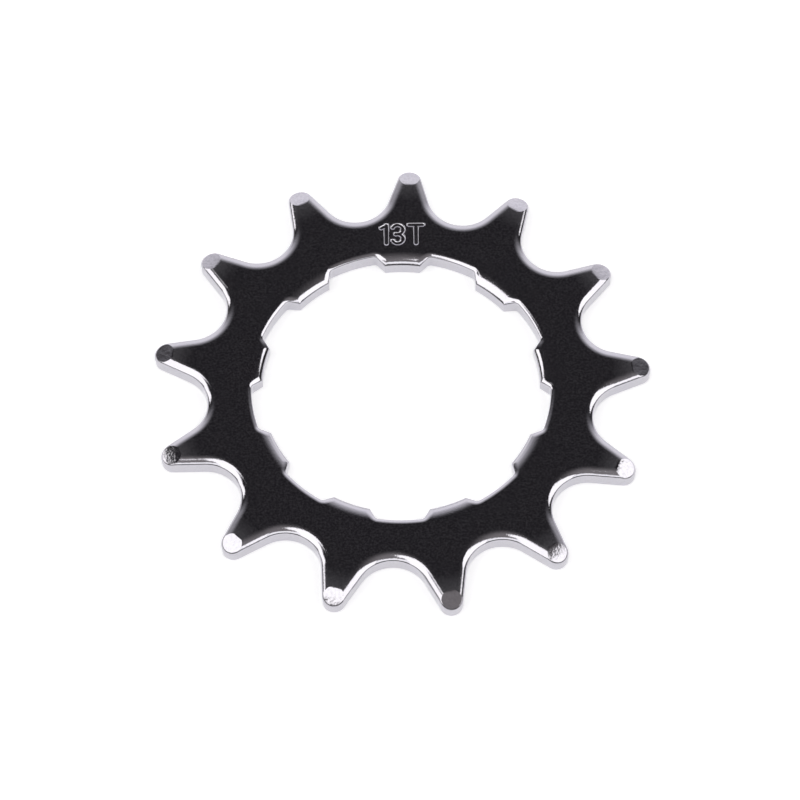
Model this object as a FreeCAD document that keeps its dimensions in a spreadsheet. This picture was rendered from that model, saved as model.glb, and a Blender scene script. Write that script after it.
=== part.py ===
import FreeCAD, Part
import math
import os
import Sketcher

# Single speed cog: one flat steel plate with thirteen chain teeth outside and nine spline tabs inside.
# The underside lies on z = 0, the bore axis is Z and one tooth points along +Y.

TOOTH_COUNT = 13
TAB_COUNT = 9

# Driving sizes in millimetres and degrees
SIZES = [
    ("chain_pitch", "12.7"),
    ("roller_diameter", "7.75"),
    ("plate_thickness", "2.2"),
    ("seat_radius", "4.17"),
    ("tip_radius", "29.28"),
    ("tip_rounding", "1.4"),
    ("facet_run", "2.05"),
    ("facet_angle", "18.5"),
    ("bore_radius", "17.45"),
    ("tab_height", "1.25"),
    ("tab_end_width", "4.35"),
    ("index_end_width", "4.15"),
    ("tab_flank_angle", "45"),
    ("tab_turn_angle", "1.5"),
    ("tab_root_rounding", "0.6"),
    ("outer_edge_width", "1.2"),
    ("outer_edge_radius", "2.1"),
    ("outer_edge_corner", "0.16"),
    ("gap_edge_width", "0.85"),
    ("gap_edge_radius", "1.6"),
    ("gap_edge_corner", "0.16"),
    ("tab_edge_width", "1.85"),
    ("tab_edge_radius", "4.6"),
    ("tab_edge_corner", "0.16"),
    ("corner_angle", "60"),
    ("underside_break", "0.15"),
]

HALF_TOOTH_ANGLE = 180.0 / TOOTH_COUNT
HALF_TAB_ANGLE = 180.0 / TAB_COUNT
FIRST_GAP_ANGLE = 270.0
INDEX_TAB_ANGLE = 90.0
CUT_MARGIN = 0.3
FLANK_OVERRUN = 1.5
NEAR = 0.01

doc = FreeCAD.newDocument("cog")
sheet = doc.addObject("Spreadsheet::Sheet", "Sizes")
for row, (alias, text) in enumerate(SIZES, start=1):
    sheet.set("A%d" % row, alias)
    sheet.set("B%d" % row, text)
    sheet.setAlias("B%d" % row, alias)
doc.recompute()

body = doc.addObject("PartDesign::Body", "cog")
body.Label = "cog"
rule = Sketcher.Constraint
origin = FreeCAD.Vector(0, 0, 0)
upward = FreeCAD.Vector(0, 0, 1)
sketch_origin = (-1, 1)


def size(alias):
    return float(sheet.get(alias))


def start_of(element):
    return element, 1


def end_of(element):
    return element, 2


def middle_of(element):
    return element, 3


def spot(across, up):
    return FreeCAD.Vector(across, up, 0)


def point(radius, degrees):
    angle = math.radians(degrees)
    return spot(radius * math.cos(angle), radius * math.sin(angle))


def line(start, end):
    return Part.LineSegment(start, end)


def arc(centre, radius, start_degrees, end_degrees):
    circle = Part.Circle(centre, upward, radius)
    return Part.ArcOfCircle(circle, math.radians(start_degrees), math.radians(end_degrees))


def new_sketch(name, role):
    planes = [item for item in body.Origin.OriginFeatures if item.Role == role]
    sketch = body.newObject("Sketcher::SketchObject", name)
    sketch.AttachmentSupport = [(planes[0], "")]
    sketch.MapMode = "FlatFace"
    return sketch


def upright_sketch(name, angle_formula):
    """The sketch stands in the upright plane at an angle about the bore axis."""
    sketch = new_sketch(name, "XZ_Plane")
    sketch.AttachmentOffset = FreeCAD.Placement(origin, FreeCAD.Rotation(spot(0, 1), 1))
    sketch.setExpression("AttachmentOffset.Rotation.Angle", angle_formula)
    return sketch


def bind(sketch, name, constraint, formula):
    index = sketch.addConstraint(constraint)
    sketch.renameConstraint(index, name)
    sketch.setExpression("Constraints." + name, formula)


def finish(feature):
    body.Tip = feature
    doc.recompute()
    return feature


def finish_cut(feature):
    """A cut that points away from the plate would take nothing off it, so the volumes are compared."""
    volume_before = body.Shape.Volume
    finish(feature)
    if body.Shape.Volume > volume_before - NEAR:
        raise RuntimeError(feature.Name + " cuts nothing")
    return feature


def swept_cut(name, section, path, edges):
    feature = body.newObject("PartDesign::SubtractivePipe", name)
    feature.Profile = section
    feature.Spine = (path, edges)
    feature.Mode = "Binormal"
    feature.Binormal = upward
    return finish_cut(feature)


def turned_cut(name, section):
    feature = body.newObject("PartDesign::Groove", name)
    feature.Profile = section
    feature.ReferenceAxis = (section, ["V_Axis"])
    feature.Angle = 360
    return finish_cut(feature)


# The chain's rollers lie on the pitch circle and touch the root circle; the tab ends lie inside the bore
root_formula = "<<Sizes>>.chain_pitch / (2 * sin(%r deg)) - <<Sizes>>.roller_diameter / 2" % HALF_TOOTH_ANGLE
pitch_radius = size("chain_pitch") / (2 * math.sin(math.radians(HALF_TOOTH_ANGLE)))
root_radius = pitch_radius - size("roller_diameter") / 2
end_formula = "<<Sizes>>.bore_radius - <<Sizes>>.tab_height"
end_radius = size("bore_radius") - size("tab_height")
thickness = size("plate_thickness")


# One tooth with its share of the ring, between the middles of two roller gaps
def tooth_sketch():
    sketch = new_sketch("tooth_outline", "XY_Plane")
    low = FIRST_GAP_ANGLE
    middle = low + HALF_TOOTH_ANGLE
    high = middle + HALF_TOOTH_ANGLE
    seat = size("seat_radius")
    rounding = size("tip_rounding")
    tip_reach = size("tip_radius") - rounding
    tip_centre = point(tip_reach, middle)
    right_centre = point(root_radius + seat, low)
    left_centre = point(root_radius + seat, high)
    between = right_centre - tip_centre
    lean = math.acos((seat + rounding) / between.Length)
    right_facing = math.degrees(math.atan2(between.y, between.x) + lean)
    left_facing = 2 * middle - right_facing
    bore_arc, right_side, right_gap, right_flank, round_tip, left_flank, left_gap, left_side, spine = range(9)
    sketch.addGeometry([
        arc(origin, end_radius, low, high),
        line(point(end_radius, low), point(root_radius, low)),
        arc(right_centre, seat, right_facing + 180, low + 180),
        line(right_centre - point(seat, right_facing), tip_centre + point(rounding, right_facing)),
        arc(tip_centre, rounding, right_facing, left_facing),
        line(tip_centre + point(rounding, left_facing), left_centre - point(seat, left_facing)),
        arc(left_centre, seat, high + 180, left_facing + 180),
        line(point(root_radius, high), point(end_radius, high)),
    ], False)
    sketch.addGeometry(line(origin, tip_centre), True)
    sketch.addConstraint([
        rule("Coincident", *middle_of(bore_arc), *sketch_origin),
        rule("Coincident", *start_of(bore_arc), *start_of(right_side)),
        rule("Coincident", *end_of(right_side), *end_of(right_gap)),
        rule("Tangent", *start_of(right_gap), *start_of(right_flank)),
        rule("Tangent", *end_of(right_flank), *start_of(round_tip)),
        rule("Tangent", *end_of(round_tip), *start_of(left_flank)),
        rule("Tangent", *end_of(left_flank), *end_of(left_gap)),
        rule("Coincident", *start_of(left_gap), *start_of(left_side)),
        rule("Coincident", *end_of(left_side), *end_of(bore_arc)),
        rule("PointOnObject", *sketch_origin, right_side),
        rule("PointOnObject", *sketch_origin, left_side),
        rule("PointOnObject", *middle_of(right_gap), right_side),
        rule("PointOnObject", *middle_of(left_gap), left_side),
        rule("Coincident", *start_of(spine), *sketch_origin),
        rule("Coincident", *end_of(spine), *middle_of(round_tip)),
        rule("Equal", right_gap, left_gap),
        rule("Symmetric", *end_of(right_side), *start_of(left_side), spine),
        rule("Angle", right_side, math.radians(low)),
        rule("Angle", spine, math.radians(middle)),
    ])
    bind(sketch, "bore", rule("Radius", bore_arc, end_radius), end_formula)
    bind(sketch, "root", rule("Distance", *sketch_origin, *end_of(right_side), root_radius), root_formula)
    bind(sketch, "seat", rule("Radius", right_gap, seat), "<<Sizes>>.seat_radius")
    bind(sketch, "rounding", rule("Radius", round_tip, rounding), "<<Sizes>>.tip_rounding")
    bind(sketch, "reach", rule("Distance", spine, tip_reach), "<<Sizes>>.tip_radius - <<Sizes>>.tip_rounding")
    return sketch


# Section of a rolled edge: a wide arc leaves the upper face, and a short steep facet meets the wall
def roll_section(name, angle_formula, wall, wall_formula, inward, edge):
    sketch = upright_sketch(name, angle_formula)
    width = size(edge + "_width")
    radius = size(edge + "_radius")
    corner = size(edge + "_corner")
    steepness = size("corner_angle")
    turn = math.degrees(math.asin((width - corner) / radius))
    face_end = spot(wall + inward * width, thickness)
    centre = face_end - spot(0, radius)
    roll_end = centre + point(radius, 90 + inward * turn)
    wall_end = spot(wall, roll_end.y - corner * math.tan(math.radians(steepness)))
    above = thickness + CUT_MARGIN
    outside = wall - inward * CUT_MARGIN
    roll, facet, riser, lid, back, floor = range(6)
    if inward > 0:
        rolled = arc(centre, radius, 90, 90 + turn)
        on_face, on_facet = start_of(roll), end_of(roll)
        facet_angle, facet_formula = steepness - 180, "<<Sizes>>.corner_angle * 1 deg - 180 deg"
        into, out = "+", "-"
    else:
        rolled = arc(centre, radius, 90 - turn, 90)
        on_facet, on_face = start_of(roll), end_of(roll)
        facet_angle, facet_formula = -steepness, "-<<Sizes>>.corner_angle * 1 deg"
        into, out = "-", "+"
    sketch.addGeometry([
        rolled,
        line(roll_end, wall_end),
        line(face_end, spot(face_end.x, above)),
        line(spot(face_end.x, above), spot(outside, above)),
        line(spot(outside, above), spot(outside, wall_end.y)),
        line(spot(outside, wall_end.y), wall_end),
    ], False)
    sketch.addConstraint([
        rule("Coincident", *on_facet, *start_of(facet)),
        rule("Coincident", *on_face, *start_of(riser)),
        rule("Coincident", *end_of(riser), *start_of(lid)),
        rule("Coincident", *end_of(lid), *start_of(back)),
        rule("Coincident", *end_of(back), *start_of(floor)),
        rule("Coincident", *end_of(floor), *end_of(facet)),
        rule("Vertical", riser),
        rule("Horizontal", lid),
        rule("Vertical", back),
        rule("Horizontal", floor),
        rule("Vertical", *middle_of(roll), *on_face),
    ])
    bind(sketch, "radius", rule("Radius", roll, radius), "<<Sizes>>.%s_radius" % edge)
    bind(sketch, "steep", rule("Angle", facet, math.radians(facet_angle)), facet_formula)
    bind(sketch, "wall", rule("DistanceX", *sketch_origin, *end_of(facet), wall), wall_formula)
    bind(sketch, "corner", rule("DistanceX", *sketch_origin, *on_facet, roll_end.x),
         "%s %s <<Sizes>>.%s_corner" % (wall_formula, into, edge))
    bind(sketch, "width", rule("DistanceX", *sketch_origin, *on_face, face_end.x),
         "%s %s <<Sizes>>.%s_width" % (wall_formula, into, edge))
    bind(sketch, "face", rule("DistanceY", *sketch_origin, *on_face, thickness), "<<Sizes>>.plate_thickness")
    bind(sketch, "back", rule("DistanceX", *sketch_origin, *start_of(back), outside),
         "%s %s %r" % (wall_formula, out, CUT_MARGIN))
    bind(sketch, "lid", rule("DistanceY", *sketch_origin, *start_of(lid), above),
         "<<Sizes>>.plate_thickness + %r" % CUT_MARGIN)
    return sketch


# Section of the flat bevel on the upper side of a tooth tip
def bevel_section():
    sketch = upright_sketch("tip_bevel_section", "%r" % (FIRST_GAP_ANGLE + HALF_TOOTH_ANGLE))
    slope = math.tan(math.radians(size("facet_angle")))
    far = size("tip_radius") + CUT_MARGIN
    start = size("tip_radius") - size("facet_run")
    above = thickness + CUT_MARGIN
    inner_corner = spot(start - CUT_MARGIN / slope, above)
    lower_corner = spot(far, thickness - (far - start) * slope)
    upper_corner = spot(far, above)
    facet, rim, lid, start_mark = range(4)
    sketch.addGeometry([
        line(inner_corner, lower_corner),
        line(lower_corner, upper_corner),
        line(upper_corner, inner_corner),
    ], False)
    sketch.addGeometry(Part.Point(spot(start, thickness)), True)
    sketch.addConstraint([
        rule("Coincident", *end_of(facet), *start_of(rim)),
        rule("Coincident", *end_of(rim), *start_of(lid)),
        rule("Coincident", *end_of(lid), *start_of(facet)),
        rule("Vertical", rim),
        rule("Horizontal", lid),
        rule("PointOnObject", *start_of(start_mark), facet),
    ])
    bind(sketch, "start", rule("DistanceX", *sketch_origin, *start_of(start_mark), start),
         "<<Sizes>>.tip_radius - <<Sizes>>.facet_run")
    bind(sketch, "face", rule("DistanceY", *sketch_origin, *start_of(start_mark), thickness),
         "<<Sizes>>.plate_thickness")
    bind(sketch, "slope", rule("Angle", facet, math.radians(-size("facet_angle"))),
         "-<<Sizes>>.facet_angle * 1 deg")
    bind(sketch, "far", rule("DistanceX", *sketch_origin, *start_of(rim), far),
         "<<Sizes>>.tip_radius + %r" % CUT_MARGIN)
    bind(sketch, "lid", rule("DistanceY", *sketch_origin, *start_of(lid), above),
         "<<Sizes>>.plate_thickness + %r" % CUT_MARGIN)
    return sketch


tooth_outline = tooth_sketch()
tooth = body.newObject("PartDesign::Pad", "tooth")
tooth.Profile = tooth_outline
tooth.setExpression("Length", "<<Sizes>>.plate_thickness")
finish(tooth)
outer_section = roll_section("outer_edge_section", "%r" % FIRST_GAP_ANGLE, root_radius, root_formula,
                             -1, "outer_edge")
swept_cut("outer_edge_roll", outer_section, tooth_outline, ["Edge3", "Edge4", "Edge5", "Edge6", "Edge7"])
tip_bevel = body.newObject("PartDesign::Pocket", "tip_bevel")
tip_bevel.Profile = bevel_section()
tip_bevel.Type = "ThroughAll"
tip_bevel.Midplane = True
finish_cut(tip_bevel)
end_section = roll_section("tab_end_section", "%r" % FIRST_GAP_ANGLE, end_radius, end_formula, 1, "tab_edge")
turned_cut("tab_end_roll", end_section)

teeth = body.newObject("PartDesign::PolarPattern", "teeth")
teeth.TransformMode = "Whole shape"
teeth.Axis = (tooth_outline, ["N_Axis"])
teeth.Angle = 360
teeth.Occurrences = TOOTH_COUNT
finish(teeth)


# Half of a gap between spline tabs, from the middle of the gap to the flank of the tab beside it
def half_gap_sketch(name, tab_angle, width_alias):
    sketch = new_sketch(name, "XY_Plane")
    bore = size("bore_radius")
    half_width = size(width_alias) / 2
    rounding = size("tab_root_rounding")
    lean = size("tab_flank_angle")
    middle = tab_angle + size("tab_turn_angle")
    gap = middle - HALF_TAB_ANGLE
    corner = point(math.sqrt(end_radius ** 2 - half_width ** 2), middle) + point(half_width, middle - 90)
    along = point(1, middle - lean)
    away = point(1, middle - lean - 90)
    beside = corner + away * rounding
    ahead = beside.dot(along)
    climb = math.sqrt(ahead ** 2 - beside.Length ** 2 + (bore - rounding) ** 2) - ahead
    root_centre = beside + along * climb
    root_angle = math.degrees(math.atan2(root_centre.y, root_centre.x))
    flank_end = corner - along * FLANK_OVERRUN
    inner_radius = end_radius - FLANK_OVERRUN
    bore_arc, root_arc, flank, closing, radial, spine, mark = range(7)
    sketch.addGeometry([
        arc(origin, bore, gap, root_angle),
        arc(root_centre, rounding, root_angle, middle - lean + 90),
        line(root_centre - away * rounding, flank_end),
        line(flank_end, point(inner_radius, gap)),
        line(point(inner_radius, gap), point(bore, gap)),
    ], False)
    sketch.addGeometry([line(origin, point(end_radius, middle)), Part.Point(corner)], True)
    sketch.addConstraint([
        rule("Coincident", *middle_of(bore_arc), *sketch_origin),
        rule("Tangent", *end_of(bore_arc), *start_of(root_arc)),
        rule("Tangent", *end_of(root_arc), *start_of(flank)),
        rule("Coincident", *end_of(flank), *start_of(closing)),
        rule("Coincident", *end_of(closing), *start_of(radial)),
        rule("Coincident", *end_of(radial), *start_of(bore_arc)),
        rule("PointOnObject", *sketch_origin, radial),
        rule("Coincident", *start_of(spine), *sketch_origin),
        rule("PointOnObject", *start_of(mark), flank),
        rule("Distance", *start_of(mark), *end_of(flank), FLANK_OVERRUN),
    ])
    bind(sketch, "bore", rule("Radius", bore_arc, bore), "<<Sizes>>.bore_radius")
    bind(sketch, "rounding", rule("Radius", root_arc, rounding), "<<Sizes>>.tab_root_rounding")
    bind(sketch, "gap", rule("Angle", radial, math.radians(gap)),
         "%r deg + <<Sizes>>.tab_turn_angle * 1 deg" % (tab_angle - HALF_TAB_ANGLE))
    bind(sketch, "turn", rule("Angle", spine, math.radians(middle)),
         "%r deg + <<Sizes>>.tab_turn_angle * 1 deg" % tab_angle)
    bind(sketch, "spine", rule("Distance", spine, end_radius), end_formula)
    bind(sketch, "reach", rule("Distance", *sketch_origin, *start_of(mark), end_radius), end_formula)
    bind(sketch, "width", rule("Distance", *start_of(mark), spine, half_width),
         "<<Sizes>>.%s / 2" % width_alias)
    bind(sketch, "lean", rule("Angle", *end_of(flank), *start_of(spine), math.radians(lean)),
         "<<Sizes>>.tab_flank_angle * 1 deg")
    bind(sketch, "inner", rule("Distance", *sketch_origin, *start_of(radial), inner_radius),
         "%s - %r" % (end_formula, FLANK_OVERRUN))
    return sketch


def half_gap(name, place, width_alias):
    """Cuts the half gap on the clockwise side of a tab and rolls its upper edge."""
    tab_angle = INDEX_TAB_ANGLE + place * 2 * HALF_TAB_ANGLE
    path = half_gap_sketch(name + "_outline", tab_angle, width_alias)
    cut = body.newObject("PartDesign::Pocket", name)
    cut.Profile = path
    cut.Type = "ThroughAll"
    cut.Reversed = True
    finish_cut(cut)
    gap_formula = "%r + <<Sizes>>.tab_turn_angle" % (tab_angle - HALF_TAB_ANGLE)
    section = roll_section(name + "_section", gap_formula, size("bore_radius"), "<<Sizes>>.bore_radius",
                           1, "gap_edge")
    roll = swept_cut(name + "_roll", section, path, ["Edge1", "Edge2", "Edge3"])
    return path, [cut, roll]


# The narrow tab sets how the cog is turned on its hub; the other eight are alike
index_path, index_cuts = half_gap("index_gap", 0, "index_end_width")
index_tab = body.newObject("PartDesign::Mirrored", "index_tab")
index_tab.Originals = index_cuts
index_tab.MirrorPlane = (index_path, ["Axis0"])
finish_cut(index_tab)

tab_path, tab_cuts = half_gap("tab_gap", 1, "tab_end_width")
tab_mirror = doc.addObject("PartDesign::Mirrored", "tab_mirror")
tab_mirror.MirrorPlane = (tab_path, ["Axis0"])
tab_turns = doc.addObject("PartDesign::PolarPattern", "tab_turns")
tab_turns.Axis = (tooth_outline, ["N_Axis"])
tab_turns.Angle = 2 * HALF_TAB_ANGLE * (TAB_COUNT - 2)
tab_turns.Occurrences = TAB_COUNT - 1
tabs = body.newObject("PartDesign::MultiTransform", "tabs")
tabs.Originals = tab_cuts
tabs.Transformations = [tab_mirror, tab_turns]
finish_cut(tabs)


# Small break along every edge of the underside
def on_underside(edge):
    return edge.BoundBox.ZMax < NEAR


underside_edges = [edge for edge in enumerate(tabs.Shape.Edges, start=1) if on_underside(edge[1])]
underside = body.newObject("PartDesign::Chamfer", "underside_edge_break")
underside.Base = (tabs, ["Edge%d" % number for number, edge in underside_edges])
underside.setExpression("Size", "<<Sizes>>.underside_break")
finish_cut(underside)

for item in doc.Objects:
    if "Invalid" in item.State or "Error" in item.State:
        raise RuntimeError(item.Name + " did not build")
if body.Shape.isNull() or not body.Shape.isValid() or len(body.Shape.Solids) != 1:
    raise RuntimeError("the cog is not one valid solid")

os.makedirs("parts", exist_ok=True)
body.Shape.exportStep("parts/" + body.Label + ".step")
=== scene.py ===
import math

import bmesh
import bpy
import numpy as np
from mathutils import Matrix, Vector
from mathutils.geometry import tessellate_polygon


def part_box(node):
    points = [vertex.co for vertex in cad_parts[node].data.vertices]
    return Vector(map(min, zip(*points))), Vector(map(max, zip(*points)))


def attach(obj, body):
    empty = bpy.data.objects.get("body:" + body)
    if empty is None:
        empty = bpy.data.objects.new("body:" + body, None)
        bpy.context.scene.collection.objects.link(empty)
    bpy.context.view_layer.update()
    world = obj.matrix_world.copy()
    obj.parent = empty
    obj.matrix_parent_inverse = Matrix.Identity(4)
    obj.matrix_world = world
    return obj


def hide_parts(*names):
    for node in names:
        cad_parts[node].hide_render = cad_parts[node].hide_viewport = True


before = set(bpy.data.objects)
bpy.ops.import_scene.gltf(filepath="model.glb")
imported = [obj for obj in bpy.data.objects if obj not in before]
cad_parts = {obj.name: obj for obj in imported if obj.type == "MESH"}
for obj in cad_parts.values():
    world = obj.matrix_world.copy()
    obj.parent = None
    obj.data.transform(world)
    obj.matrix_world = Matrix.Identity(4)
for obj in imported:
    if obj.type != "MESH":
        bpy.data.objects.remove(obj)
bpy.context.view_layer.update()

high_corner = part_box("cog")[1]

# Sizes of the cog in millimetres and degrees; the plate's height and reach come from the frame
MM = 0.001
THICKNESS = high_corner.z / MM
TIP_RADIUS = high_corner.y / MM
TOOTH_COUNT = 13
TAB_COUNT = 9
CHAIN_PITCH = 12.7
ROLLER_DIAMETER = 7.75
SEAT_RADIUS = 4.17
TIP_ROUNDING = 1.4
BORE_RADIUS = 17.45
TAB_END_RADIUS = 16.2
TAB_END_WIDTH = 4.35
INDEX_END_WIDTH = 4.15
TAB_FLANK_ANGLE = 45
TAB_TURN_ANGLE = 1.5
TAB_ROOT_ROUNDING = 0.6
UNDERSIDE_BREAK = 0.15
FIRST_TOOTH_ANGLE = 90
HALF_TOOTH_ANGLE = 180 / TOOTH_COUNT
PITCH_RADIUS = CHAIN_PITCH / (2 * math.sin(math.radians(HALF_TOOTH_ANGLE)))
ROOT_RADIUS = PITCH_RADIUS - ROLLER_DIAMETER / 2

# Bevel ground on each tooth tip: a crowned facet with a soft inner border and a narrow rim at the wall
FACET_RUN = 2.05
FACET_ANGLE = 18.5
FACET_CROWN = 3.5
FACET_BLEND = 0.24
FACET_RIM = 0.2
FACET_RIM_SLOPE = 0.25

# Rolled edges: the width, the tilt that is reached, how late it grows, and the corner at the wall
OUTER_EDGE = {"width": 1.36, "tilt": 31, "growth": 1.4, "corner": 0.16}
BORE_EDGE = {"width": 0.75, "tilt": 20, "growth": 1.1, "corner": 0.12}
LEAD_IN_WIDTH = 1.9
LEAD_IN_RADIUS = 4.5

# How finely the outlines and the rolled edges are divided
SEAT_STEPS = 16
FLANK_STEPS = 12
TIP_STEPS = 28
BORE_STEPS = 20
ROOT_STEPS = 8
TAB_FLANK_STEPS = 10
TAB_END_STEPS = 18
ROLL_STEPS = 14
LEAD_IN_STEPS = 12
FACET_STRIPS = 6
BLEND_STRIPS = 2
CORNER_STEPS = 9
WALL_STEPS = 3
BREAK_STEPS = 4
HOLDING_STRIP = 0.03
MERGE_DISTANCE = 0.0001
CREASE_ANGLE = 16

# Tooth count stamped beside the first tooth: strokes on the upper face, in millimetres and degrees
STAMP_TURN = 2.68
STAMP_TOP = 21.5
STAMP_FOOT = 18.99
STROKE_HALF_WIDTH = 0.33
STROKE_FLOOR = 0.12
STROKE_DEPTH = 0.12
STROKE_LID = 0.2
STROKE_STEPS = 6
CAP_STEPS = 12
BOWL_STEPS = 18
ONE_STEM = -1.53
THREE_MIDDLE = -0.19
BOWL_OPEN = 155
BOWL_WAIST = 110
CROSS_STEM = 1.99
FLAG_REACH = np.array([-0.6, -0.42])
CROSS_REACH = np.array([0.815, 0])
STROKE_JOIN = np.array([0, -0.08])

# Finish: the grain of each noise in millimetres, its detail, and the part of its range that counts
TINT = {"grain": 3.0, "detail": 2, "low": 0, "high": 1}
POLISH = {"grain": 0.8, "detail": 3, "low": 0.3, "high": 0.7}
HAZE = {"grain": 0.24, "detail": 3, "low": 0.4, "high": 0.7}
RIPPLE = {"grain": 0.25, "detail": 2, "low": 0, "high": 1}
PITS = {"grain": 0.13, "detail": 0, "low": 0.7, "high": 0.8}
SPECKLE = {"grain": 0.3, "detail": 2, "low": 0.42, "high": 0.66}
GRINDING = {"grain": 1.0, "detail": 1, "low": 0, "high": 1}
SCRATCHES = {"grain": 0.3, "detail": 1, "low": 0, "high": 1}
RIPPLE_DEPTH = 0.004
PIT_DEPTH = 0.0015
GRINDING_DEPTH = 0.02
SCRATCH_DEPTH = 0.006
PLATE_LIGHT = (0.6, 0.585, 0.62, 1)
PLATE_DARK = (0.55, 0.54, 0.595, 1)
SPECKLE_DARK = (0.33, 0.32, 0.35, 1)
SPECKLE_SHARE = 0.2
SMOOTHEST = 0.05
ROUGHEST = 0.1
HAZE_DULLNESS = 0.04

# The plate turns duller from DULL_START to DULL_END, towards the tooth tips
DULL_START = 24.9
DULL_END = 27.1
TIP_DULLNESS = 0.075

# Studio: the colour of each surface, and where it lies by azimuth and elevation in degrees
WALL_COLOUR = (1, 1, 1, 1)
CEILING_COLOUR = (0.0205, 0.019, 0.0215, 1)
FAR_COLOUR = (1.15, 1.13, 1.18, 1)
OVERHEAD_COLOUR = (0.25, 0.235, 0.235, 1)
BOX_COLOUR = (1.8, 1.78, 1.76, 1)
NEAR_COLOUR = (1.5, 1.5, 1.5, 1)
CEILING = {"azimuth": 0, "half_width": 200, "low": 19, "high": 120, "soft": 4}
FAR_LIGHT = {"azimuth": 90, "half_width": 38, "low": 10, "high": 40, "soft": 18}
OVERHEAD = {"azimuth": 270, "height": 72, "inner": 10, "outer": 43}
LEFT_BOX = {"azimuth": 196.5, "half_width": 34.5, "low": 40, "high": 84, "soft": 4}
LEFT_LOW_BOX = {"azimuth": 165, "half_width": 15, "low": 30, "high": 48, "soft": 2.5}
LEFT_TOP_BOX = {"azimuth": 205, "half_width": 45, "low": 73, "high": 85, "soft": 4}
LEFT_FAR_BOX = {"azimuth": 164, "half_width": 26, "low": 65, "high": 79, "soft": 4}
RIGHT_BOX = {"azimuth": -6, "half_width": 38, "low": 37, "high": 66.5, "soft": 2.5}
NEAR_BOX = {"azimuth": 270, "half_width": 45, "low": 50, "high": 64, "soft": 2.5}
FLOOR_SIZE = 3
FLOOR_COLOUR = (0.86, 0.86, 0.87, 1)
FLOOR_ROUGHNESS = 0.9
FLOOR_GLOW = 0.5

# The photograph's view: the camera looks down on the near edge with a long lens
VIEW_AZIMUTH = 2.68
VIEW_ELEVATION = 62.17
VIEW_DISTANCE = 474
VIEW_ROLL = -0.73
AIM_DOWN = 0.219
AIM_LEFT = 0.016
SENSOR_WIDTH = 36
LENS = 183


def heading(degrees):
    angle = math.radians(degrees)
    return np.array([math.cos(angle), math.sin(angle)])


def bearing(spot):
    return math.degrees(math.atan2(spot[1], spot[0]))


def short_turn(degrees):
    return (degrees + 180) % 360 - 180


def arc_points(centre, radius, start, end, steps):
    return [centre + radius * heading(start + (end - start) * i / steps) for i in range(steps + 1)]


def line_points(start, end, steps):
    return [start + (end - start) * i / steps for i in range(steps + 1)]


# Where a line from a point meets a circle round the axis
def meet_circle(start, along, radius):
    ahead = start @ along
    return start + (math.sqrt(ahead ** 2 - start @ start + radius ** 2) - ahead) * along


def tooth_angle(tooth):
    return FIRST_TOOTH_ANGLE + tooth * 2 * HALF_TOOTH_ANGLE


# Outline of one tooth at an inset from its wall, from the middle of one gap to the middle of the next
def tooth_ring(middle, inset):
    low = middle - HALF_TOOTH_ANGLE
    high = middle + HALF_TOOTH_ANGLE
    seat = SEAT_RADIUS + inset
    rounding = TIP_ROUNDING - inset
    tip_centre = (TIP_RADIUS - TIP_ROUNDING) * heading(middle)
    right_centre = (ROOT_RADIUS + SEAT_RADIUS) * heading(low)
    left_centre = (ROOT_RADIUS + SEAT_RADIUS) * heading(high)
    between = right_centre - tip_centre
    lean = math.degrees(math.acos((SEAT_RADIUS + TIP_ROUNDING) / np.linalg.norm(between)))
    half_turn = short_turn(middle - (bearing(between) + lean))
    right_facing = middle - half_turn
    left_facing = middle + half_turn
    right_seat = arc_points(right_centre, seat, low + 180, right_facing + 180, SEAT_STEPS)
    round_tip = arc_points(tip_centre, rounding, right_facing, left_facing, TIP_STEPS)
    left_seat = arc_points(left_centre, seat, left_facing + 180, high + 180, SEAT_STEPS)
    right_flank = line_points(right_seat[-1], round_tip[0], FLANK_STEPS)
    left_flank = line_points(round_tip[-1], left_seat[0], FLANK_STEPS)
    return right_seat[:-1] + right_flank[:-1] + round_tip[:-1] + left_flank[:-1] + left_seat[:-1]


def outer_ring(inset):
    ring = []
    for tooth in range(TOOTH_COUNT):
        ring += tooth_ring(tooth_angle(tooth), inset)
    return ring


# Half of a spline tab at an inset: its corner on the tab end and the rounded root beside it
def half_tab(middle, end_width, side, inset):
    facing = middle + side * TAB_FLANK_ANGLE
    along = heading(facing)
    out_of_metal = heading(facing + side * 90)
    half_width = end_width / 2
    reach = math.sqrt(TAB_END_RADIUS ** 2 - half_width ** 2)
    on_flank = reach * heading(middle) + half_width * heading(middle + side * 90)
    corner = meet_circle(on_flank - inset * out_of_metal, along, TAB_END_RADIUS + inset)
    beside = on_flank + TAB_ROOT_ROUNDING * out_of_metal
    root_centre = meet_circle(beside, along, BORE_RADIUS - TAB_ROOT_ROUNDING)
    root_angle = bearing(root_centre)
    root_turn = short_turn(facing - side * 90 - root_angle)
    root = arc_points(root_centre, TAB_ROOT_ROUNDING + inset, root_angle + root_turn, root_angle, ROOT_STEPS)
    return corner, root, root_angle


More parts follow.
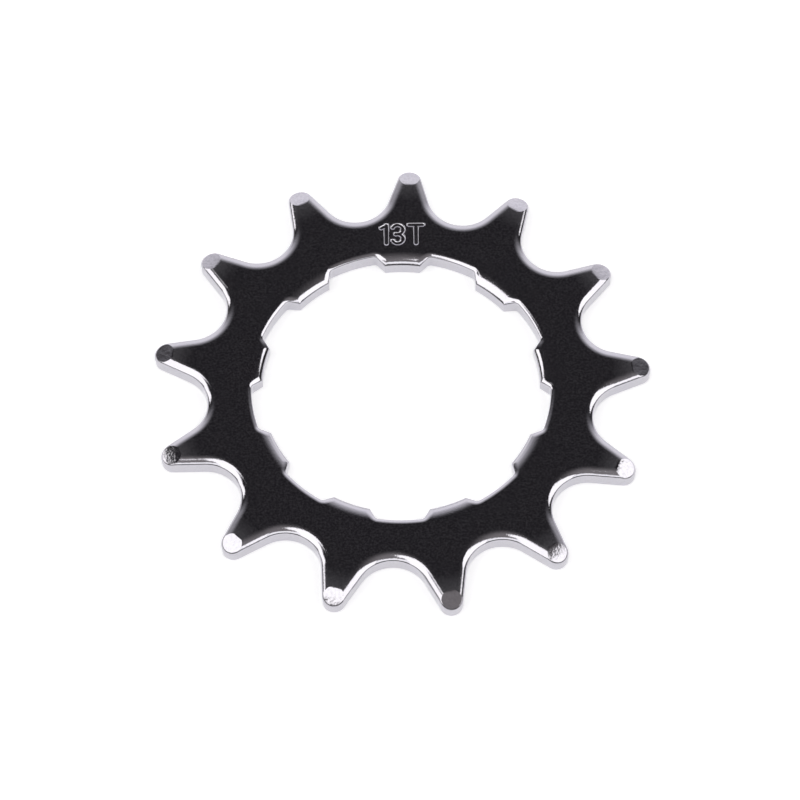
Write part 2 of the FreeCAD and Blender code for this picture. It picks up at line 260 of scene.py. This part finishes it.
# Outline of the bore at an inset from its wall; the first of the tabs is the narrow one
def bore_ring(inset):
    halves = []
    for tab in range(TAB_COUNT):
        middle = FIRST_TOOTH_ANGLE + TAB_TURN_ANGLE + tab * (360 / TAB_COUNT)
        width = TAB_END_WIDTH if tab else INDEX_END_WIDTH
        halves.append((half_tab(middle, width, -1, inset), half_tab(middle, width, 1, inset)))
    origin = np.zeros(2)
    ring = []
    for tab in range(TAB_COUNT):
        right_corner, right_root = halves[tab][0][:2]
        left_corner, left_root, left_angle = halves[tab][1]
        next_angle = halves[(tab + 1) % TAB_COUNT][0][2]
        end_start = bearing(right_corner)
        end_turn = (bearing(left_corner) - end_start) % 360
        gap_turn = (next_angle - left_angle) % 360
        tab_end = arc_points(origin, TAB_END_RADIUS + inset, end_start, end_start + end_turn, TAB_END_STEPS)
        gap = arc_points(origin, BORE_RADIUS + inset, left_angle, left_angle + gap_turn, BORE_STEPS)
        ring += right_root[::-1][:-1]
        ring += line_points(right_root[0], right_corner, TAB_FLANK_STEPS)[:-1]
        ring += tab_end[:-1]
        ring += line_points(left_corner, left_root[0], TAB_FLANK_STEPS)[:-1]
        ring += left_root[:-1]
        ring += gap[:-1]
    return ring


# Section of a rolled edge from the upper face to its wall, as insets and heights: the tilt grows
# from the face, and a small round corner meets the wall
def roll_section(edge):
    width = edge["width"]
    corner = edge["corner"]
    height = THICKNESS
    section = [(width + HOLDING_STRIP, height), (width, height)]
    step = (width - corner) / ROLL_STEPS
    for i in range(ROLL_STEPS):
        tilt = edge["tilt"] * ((i + 0.5) / ROLL_STEPS) ** edge["growth"]
        height -= step * math.tan(math.radians(tilt))
        section.append((width - (i + 1) * step, height))
    last = math.radians(edge["tilt"])
    small = corner / (1 - math.sin(last))
    for i in range(1, CORNER_STEPS + 1):
        angle = last + (math.pi / 2 - last) * i / CORNER_STEPS
        inset = corner - small * (math.sin(angle) - math.sin(last))
        section.append((inset, height - small * (math.cos(last) - math.cos(angle))))
    return section


# Strips of the crowned bevel on a tooth tip: how far out each starts, how deep, and its tilt
def facet_strips():
    widths = [FACET_BLEND / BLEND_STRIPS] * BLEND_STRIPS + [FACET_RUN / FACET_STRIPS] * FACET_STRIPS
    tilts = [(FACET_ANGLE - FACET_CROWN) * (i + 1) / (BLEND_STRIPS + 1) for i in range(BLEND_STRIPS)]
    tilts += [FACET_ANGLE + FACET_CROWN * ((2 * i + 1) / FACET_STRIPS - 1) for i in range(FACET_STRIPS)]
    start = TIP_RADIUS - FACET_RUN - FACET_BLEND
    drop = 0
    strips = []
    for width, degrees in zip(widths, tilts):
        tilt = math.radians(degrees)
        strips.append((start, drop, tilt))
        start += width
        drop += width * math.tan(tilt)
    return strips


# Height of the bevel on the nearest tooth tip above a point of the plan
def facet_height(x, y):
    step = 2 * HALF_TOOTH_ANGLE
    away = bearing((x, y)) - FIRST_TOOTH_ANGLE
    off_axis = away - step * round(away / step)
    along = math.hypot(x, y) * math.cos(math.radians(off_axis))
    return THICKNESS - max(drop + (along - start) * math.tan(tilt) for start, drop, tilt in facet_strips())


# The bevel ends in a crisp edge, and a narrow rim rounds down from it to the wall of the tooth
def rim_height(x, y, inset):
    left = FACET_RIM - inset
    rounding = FACET_RIM - math.sqrt(FACET_RIM ** 2 - left ** 2)
    return facet_height(x, y) - FACET_RIM_SLOPE * left - rounding


# Rows of points from the flat face over the rolled edge of the teeth to the top of their wall
def outer_rows():
    section = roll_section(OUTER_EDGE)
    insets = [inset for inset, height in section][::-1]
    heights = [height for inset, height in section][::-1]
    section.append((FACET_RIM, np.interp(FACET_RIM, insets, heights)))
    rows = []
    for inset, height in sorted(section, reverse=True):
        row = []
        for x, y in outer_ring(inset):
            row.append((x, y, min(height, rim_height(x, y, inset)) if inset <= FACET_RIM else height))
        rows.append(row)
    return rows


# Round the bore a turned lead-in curves down over the tabs, and their edges roll further
def lead_in_drop(radius):
    run = max(TAB_END_RADIUS + LEAD_IN_WIDTH - radius, 0)
    return LEAD_IN_RADIUS - math.sqrt(LEAD_IN_RADIUS ** 2 - run ** 2)


def bore_rows():
    section = roll_section(BORE_EDGE)
    ring = bore_ring(BORE_EDGE["width"])
    start = BORE_RADIUS + BORE_EDGE["width"]
    rows = []
    for i in range(-1, LEAD_IN_STEPS):
        row = []
        for spot in ring:
            reach = np.linalg.norm(spot)
            radius = start + (reach - start) * i / LEAD_IN_STEPS if i >= 0 else start + HOLDING_STRIP
            row.append((*(spot / reach * radius), THICKNESS - lead_in_drop(radius)))
        rows.append(row)
    for inset, height in section[1:]:
        rows.append([(x, y, height - lead_in_drop(math.hypot(x, y))) for x, y in bore_ring(inset)])
    return rows


# Wall below a rolled edge and the small break at the underside
def wall_rows(wall_top, ring_of):
    rows = []
    for i in range(1, WALL_STEPS + 1):
        share = i / WALL_STEPS
        rows.append([(x, y, top + (UNDERSIDE_BREAK - top) * share) for x, y, top in wall_top])
    for i in range(1, BREAK_STEPS + 1):
        angle = math.pi / 2 * i / BREAK_STEPS
        height = UNDERSIDE_BREAK * (1 - math.sin(angle))
        rows.append([(x, y, height) for x, y in ring_of(UNDERSIDE_BREAK * (1 - math.cos(angle)))])
    rows.append([(x, y, 0) for x, y in ring_of(UNDERSIDE_BREAK + HOLDING_STRIP)])
    return rows


# Faces between closed rows of points, from the first row to the last
def add_strip(mesh, places):
    rows = [[mesh.verts.new(place) for place in row] for row in places]
    count = len(rows[0])
    for upper, lower in zip(rows, rows[1:]):
        for i in range(count):
            j = (i + 1) % count
            mesh.faces.new((upper[i], lower[i], lower[j], upper[j]))
    return rows[0], rows[-1]


def add_edge(mesh, roll_rows, ring_of):
    return add_strip(mesh, roll_rows + wall_rows(roll_rows[-1], ring_of))


def fill_flat(mesh, outer, inner):
    rings = [[vert.co for vert in outer], [vert.co for vert in inner]]
    verts = outer + inner
    for triangle in tessellate_polygon(rings):
        mesh.faces.new([verts[i] for i in triangle])


# Crowned bevel on the upper side of each tooth tip
def cut_tip_facets(mesh):
    for tooth in range(TOOTH_COUNT):
        outward = heading(tooth_angle(tooth))
        for start, drop, tilt in facet_strips():
            normal = (math.sin(tilt) * outward[0], math.sin(tilt) * outward[1], math.cos(tilt))
            everything = list(mesh.verts) + list(mesh.edges) + list(mesh.faces)
            cut = bmesh.ops.bisect_plane(
                mesh, geom=everything, dist=MERGE_DISTANCE, clear_outer=True,
                plane_co=(*(start * outward), THICKNESS - drop), plane_no=normal)
            rim = [item for item in cut["geom_cut"] if isinstance(item, bmesh.types.BMEdge)]
            bmesh.ops.contextual_create(mesh, geom=rim)


def cog_mesh():
    mesh = bmesh.new()
    outer_top, outer_bottom = add_edge(mesh, outer_rows(), outer_ring)
    bore_top, bore_bottom = add_edge(mesh, bore_rows(), bore_ring)
    fill_flat(mesh, outer_top, bore_top)
    fill_flat(mesh, outer_bottom, bore_bottom)
    cut_tip_facets(mesh)
    bmesh.ops.recalc_face_normals(mesh, faces=mesh.faces)
    return mesh


def to_object(mesh, name):
    data = bpy.data.meshes.new(name)
    mesh.to_mesh(data)
    mesh.free()
    piece = bpy.data.objects.new(name, data)
    bpy.context.scene.collection.objects.link(piece)
    return piece


# Strokes of the stamped number, as paths on the upper face
def stamp_paths():
    bowl = (STAMP_TOP - STAMP_FOOT) / 4
    upper = np.array([THREE_MIDDLE, STAMP_TOP - bowl])
    lower = np.array([THREE_MIDDLE, STAMP_FOOT + bowl])
    one_top = np.array([ONE_STEM, STAMP_TOP])
    cross_top = np.array([CROSS_STEM, STAMP_TOP])
    return [
        line_points(one_top + FLAG_REACH, one_top + STROKE_JOIN, 1),
        line_points(one_top, np.array([ONE_STEM, STAMP_FOOT]), 1),
        arc_points(upper, bowl, BOWL_OPEN, -BOWL_WAIST, BOWL_STEPS),
        arc_points(lower, bowl, BOWL_WAIST, -BOWL_OPEN, BOWL_STEPS),
        line_points(cross_top - CROSS_REACH, cross_top + CROSS_REACH, 1),
        line_points(cross_top + STROKE_JOIN, np.array([CROSS_STEM, STAMP_FOOT]), 1),
    ]


# Section of a stroke from above the face to its floor, as offsets and depths
def stroke_section():
    section = []
    for i in range(STROKE_STEPS + 1):
        share = 1 - i / STROKE_STEPS
        offset = STROKE_FLOOR + (STROKE_HALF_WIDTH - STROKE_FLOOR) * share
        section.append((offset, STROKE_DEPTH * (1 - share ** 2)))
    edge_rise = STROKE_LID / STROKE_DEPTH * (section[0][0] - section[1][0])
    return [(STROKE_HALF_WIDTH + edge_rise, -STROKE_LID)] + section


# Closed outline round a stroke's path at an offset, with round ends
def stroke_ring(path, offset):
    ring = []
    for walk in (path, path[::-1]):
        for i, spot in enumerate(walk):
            before = walk[max(i - 1, 0)]
            after = walk[min(i + 1, len(walk) - 1)]
            facing = bearing(after - before) - 90
            if i + 1 < len(walk):
                ring.append(spot + offset * heading(facing))
            else:
                ring += arc_points(spot, offset, facing, facing + 180, CAP_STEPS)[:-1]
    return ring


def stroke_cutter(path):
    mesh = bmesh.new()
    places = []
    for offset, depth in stroke_section():
        places.append([(x, y, THICKNESS - depth) for x, y in stroke_ring(path, offset)])
    for end in add_strip(mesh, places):
        mesh.faces.new(end)
    bmesh.ops.recalc_face_normals(mesh, faces=mesh.faces)
    bmesh.ops.rotate(mesh, verts=mesh.verts, matrix=Matrix.Rotation(math.radians(STAMP_TURN), 3, "Z"))
    return to_object(mesh, "stroke")


def stamp(piece):
    cutters = [stroke_cutter(path) for path in stamp_paths()]
    for cutter in cutters:
        cut = piece.modifiers.new("stroke", "BOOLEAN")
        cut.operation = "DIFFERENCE"
        cut.solver = "MANIFOLD"
        cut.object = cutter
    bpy.context.view_layer.update()
    stamped = piece.evaluated_get(bpy.context.evaluated_depsgraph_get())
    piece.data = bpy.data.meshes.new_from_object(stamped)
    piece.modifiers.clear()
    for cutter in cutters:
        bpy.data.objects.remove(cutter)


# The ground bevels are marked and keep crisp edges, as their surface differs from the rest
def mark_bevels(piece):
    mesh = bmesh.new()
    mesh.from_mesh(piece.data)
    ground = mesh.faces.layers.float.new("ground")
    for face in mesh.faces:
        x, y, z = face.calc_center_median()
        face[ground] = float(abs(z - facet_height(x, y)) < MERGE_DISTANCE and z < THICKNESS)
    for edge in mesh.edges:
        if len({face[ground] for face in edge.link_faces}) > 1:
            edge.smooth = False
    mesh.to_mesh(piece.data)
    mesh.free()


# A tree of shader nodes, where a plain value or another node's output goes into each input
class NodeTree:
    def __init__(self, owner):
        owner.use_nodes = True
        self.nodes = owner.node_tree.nodes
        self.links = owner.node_tree.links

    def feed(self, socket, value):
        if isinstance(value, bpy.types.NodeSocket):
            self.links.new(value, socket)
        else:
            socket.default_value = value

    def compute(self, operation, *values):
        node = self.nodes.new("ShaderNodeMath")
        node.operation = operation
        for socket, value in zip(node.inputs, values):
            self.feed(socket, value)
        return node.outputs[0]

    def mix(self, factor, first, second):
        node = self.nodes.new("ShaderNodeMix")
        node.data_type = "RGBA"
        for name, value in (("Factor", factor), ("A", first), ("B", second)):
            self.feed(node.inputs[name], value)
        return node.outputs["Result"]

    def ramp(self, value, low, high, shape="LINEAR"):
        node = self.nodes.new("ShaderNodeMapRange")
        node.interpolation_type = shape
        for name, setting in (("Value", value), ("From Min", low), ("From Max", high)):
            self.feed(node.inputs[name], setting)
        return node.outputs["Result"]


class ChromeNodes(NodeTree):
    def __init__(self, material):
        super().__init__(material)
        self.place = self.nodes.new("ShaderNodeTexCoord").outputs["Object"]
        self.normal = None

    def noise(self, grain, detail, low, high):
        node = self.nodes.new("ShaderNodeTexNoise")
        node.inputs["Scale"].default_value = 1 / (grain * MM)
        node.inputs["Detail"].default_value = detail
        self.links.new(self.place, node.inputs["Vector"])
        return self.ramp(node.outputs["Fac"], low, high)

    def distance(self):
        node = self.nodes.new("ShaderNodeVectorMath")
        node.operation = "LENGTH"
        self.links.new(self.place, node.inputs[0])
        return node.outputs["Value"]

    def attribute(self, name):
        node = self.nodes.new("ShaderNodeAttribute")
        node.attribute_name = name
        return node.outputs["Fac"]

    def bump(self, height, depth):
        node = self.nodes.new("ShaderNodeBump")
        node.inputs["Distance"].default_value = depth * MM
        self.links.new(height, node.inputs["Height"])
        if self.normal is not None:
            self.links.new(self.normal, node.inputs["Normal"])
        self.normal = node.outputs["Normal"]


# Bright plating with a fine haze and pits, duller towards the tooth tips, and ground bevels
def chrome_material():
    material = bpy.data.materials.new("chrome_plate")
    chrome = ChromeNodes(material)
    shader = chrome.nodes["Principled BSDF"].inputs
    ground = chrome.attribute("ground")
    plate = chrome.mix(chrome.noise(**TINT), PLATE_LIGHT, PLATE_DARK)
    speckle = chrome.compute("MULTIPLY", chrome.noise(**SPECKLE), SPECKLE_SHARE)
    speckle = chrome.compute("MULTIPLY", speckle, ground)
    chrome.feed(shader["Base Color"], chrome.mix(speckle, plate, SPECKLE_DARK))
    rough = chrome.compute("MULTIPLY_ADD", chrome.noise(**POLISH), ROUGHEST - SMOOTHEST, SMOOTHEST)
    chrome.feed(shader["Roughness"], rough)
    haze = chrome.compute("MULTIPLY", chrome.noise(**HAZE), HAZE_DULLNESS)
    dull = chrome.ramp(chrome.distance(), DULL_START * MM, DULL_END * MM)
    dull = chrome.compute("MULTIPLY", dull, TIP_DULLNESS)
    dull = chrome.compute("MULTIPLY", dull, chrome.compute("SUBTRACT", 1, ground))
    metal = chrome.compute("SUBTRACT", chrome.compute("SUBTRACT", 1, haze), dull)
    chrome.feed(shader["Metallic"], metal)
    chrome.bump(chrome.noise(**RIPPLE), RIPPLE_DEPTH)
    chrome.bump(chrome.noise(**PITS), PIT_DEPTH)
    chrome.bump(chrome.compute("MULTIPLY", chrome.noise(**GRINDING), ground), GRINDING_DEPTH)
    chrome.bump(chrome.compute("MULTIPLY", chrome.noise(**SCRATCHES), ground), SCRATCH_DEPTH)
    chrome.feed(shader["Normal"], chrome.normal)
    return material


cog = to_object(cog_mesh(), "cog_plate")
stamp(cog)
cog.data.shade_smooth()
cog.data.set_sharp_from_angle(angle=math.radians(CREASE_ANGLE))
mark_bevels(cog)
cog.data.transform(Matrix.Scale(MM, 4))
cog.data.materials.clear()
cog.data.materials.append(chrome_material())
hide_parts("cog")
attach(cog, "root")


# Studio world: white low walls, a dim ceiling and soft lights, each painted over those before it
class WorldNodes(NodeTree):
    def __init__(self, world):
        super().__init__(world)
        self.direction = self.nodes.new("ShaderNodeTexCoord").outputs["Generated"]
        self.colour = WALL_COLOUR

    def border(self, angle, outside, inside):
        return self.ramp(angle, math.radians(outside), math.radians(inside), "SMOOTHSTEP")

    def patch(self, azimuth, half_width, low, high, soft):
        turned = self.nodes.new("ShaderNodeVectorRotate")
        turned.rotation_type = "Z_AXIS"
        turned.inputs["Angle"].default_value = math.radians(-azimuth)
        self.links.new(self.direction, turned.inputs["Vector"])
        parts = self.nodes.new("ShaderNodeSeparateXYZ")
        self.links.new(turned.outputs["Vector"], parts.inputs["Vector"])
        elevation = self.compute("ARCSINE", parts.outputs["Z"])
        side = self.compute("ABSOLUTE", self.compute("ARCTAN2", parts.outputs["Y"], parts.outputs["X"]))
        between = self.border(side, half_width + soft, half_width - soft)
        above = self.border(elevation, low - soft, low + soft)
        below = self.border(elevation, high + soft, high - soft)
        return self.compute("MULTIPLY", between, self.compute("MULTIPLY", above, below))

    def glow(self, azimuth, height, inner, outer):
        flat = math.cos(math.radians(height)) * heading(azimuth)
        towards = self.nodes.new("ShaderNodeVectorMath")
        towards.operation = "DOT_PRODUCT"
        self.links.new(self.direction, towards.inputs[0])
        towards.inputs[1].default_value = (*flat, math.sin(math.radians(height)))
        return self.border(self.compute("ARCCOSINE", towards.outputs["Value"]), outer, inner)

    def paint(self, mask, colour):
        self.colour = self.mix(mask, self.colour, colour)

    def finish(self):
        self.feed(self.nodes["Background"].inputs["Color"], self.colour)


def light_studio():
    world = bpy.data.worlds.new("studio")
    bpy.context.scene.world = world
    studio = WorldNodes(world)
    studio.paint(studio.patch(**CEILING), CEILING_COLOUR)
    studio.paint(studio.patch(**FAR_LIGHT), FAR_COLOUR)
    studio.paint(studio.glow(**OVERHEAD), OVERHEAD_COLOUR)
    for box in (LEFT_BOX, LEFT_LOW_BOX, LEFT_TOP_BOX, LEFT_FAR_BOX, RIGHT_BOX):
        studio.paint(studio.patch(**box), BOX_COLOUR)
    studio.paint(studio.patch(**NEAR_BOX), NEAR_COLOUR)
    studio.finish()


# White floor: it glows where the camera or a mirror sees it, and keeps the shadow of the cog
def floor_material():
    material = bpy.data.materials.new("white_floor")
    tree = NodeTree(material)
    shader = tree.nodes["Principled BSDF"].inputs
    shader["Base Color"].default_value = FLOOR_COLOUR
    shader["Roughness"].default_value = FLOOR_ROUGHNESS
    shader["Specular IOR Level"].default_value = 0
    shader["Emission Color"].default_value = (1, 1, 1, 1)
    rays = tree.nodes.new("ShaderNodeLightPath").outputs
    mirrored = tree.compute("MAXIMUM", rays["Is Glossy Ray"], rays["Is Transmission Ray"])
    seen = tree.compute("MAXIMUM", rays["Is Camera Ray"], mirrored)
    tree.feed(shader["Emission Strength"], tree.compute("MULTIPLY", seen, FLOOR_GLOW))
    return material


def add_floor():
    bpy.ops.mesh.primitive_plane_add(size=FLOOR_SIZE, location=(0, 0, 0))
    floor = bpy.context.object
    floor.name = "floor"
    floor.data.materials.append(floor_material())


def add_camera():
    data = bpy.data.cameras.new("camera")
    data.sensor_width = SENSOR_WIDTH
    data.lens = LENS
    camera = bpy.data.objects.new("camera", data)
    bpy.context.scene.collection.objects.link(camera)
    turn = Matrix.Rotation(math.radians(VIEW_AZIMUTH), 4, "Z")
    turn = turn @ Matrix.Rotation(math.radians(90 - VIEW_ELEVATION), 4, "X")
    back = turn @ Vector((0, 0, 1))
    turn = turn @ Matrix.Rotation(math.radians(VIEW_ROLL), 4, "Z")
    turn = turn @ Matrix.Rotation(math.radians(-AIM_DOWN), 4, "X")
    turn = turn @ Matrix.Rotation(math.radians(AIM_LEFT), 4, "Y")
    place = Vector((0, 0, THICKNESS * MM)) + back * VIEW_DISTANCE * MM
    camera.matrix_world = Matrix.Translation(place) @ turn
    bpy.context.scene.camera = camera


bpy.context.scene.view_settings.view_transform = "Standard"
light_studio()
add_floor()
add_camera()
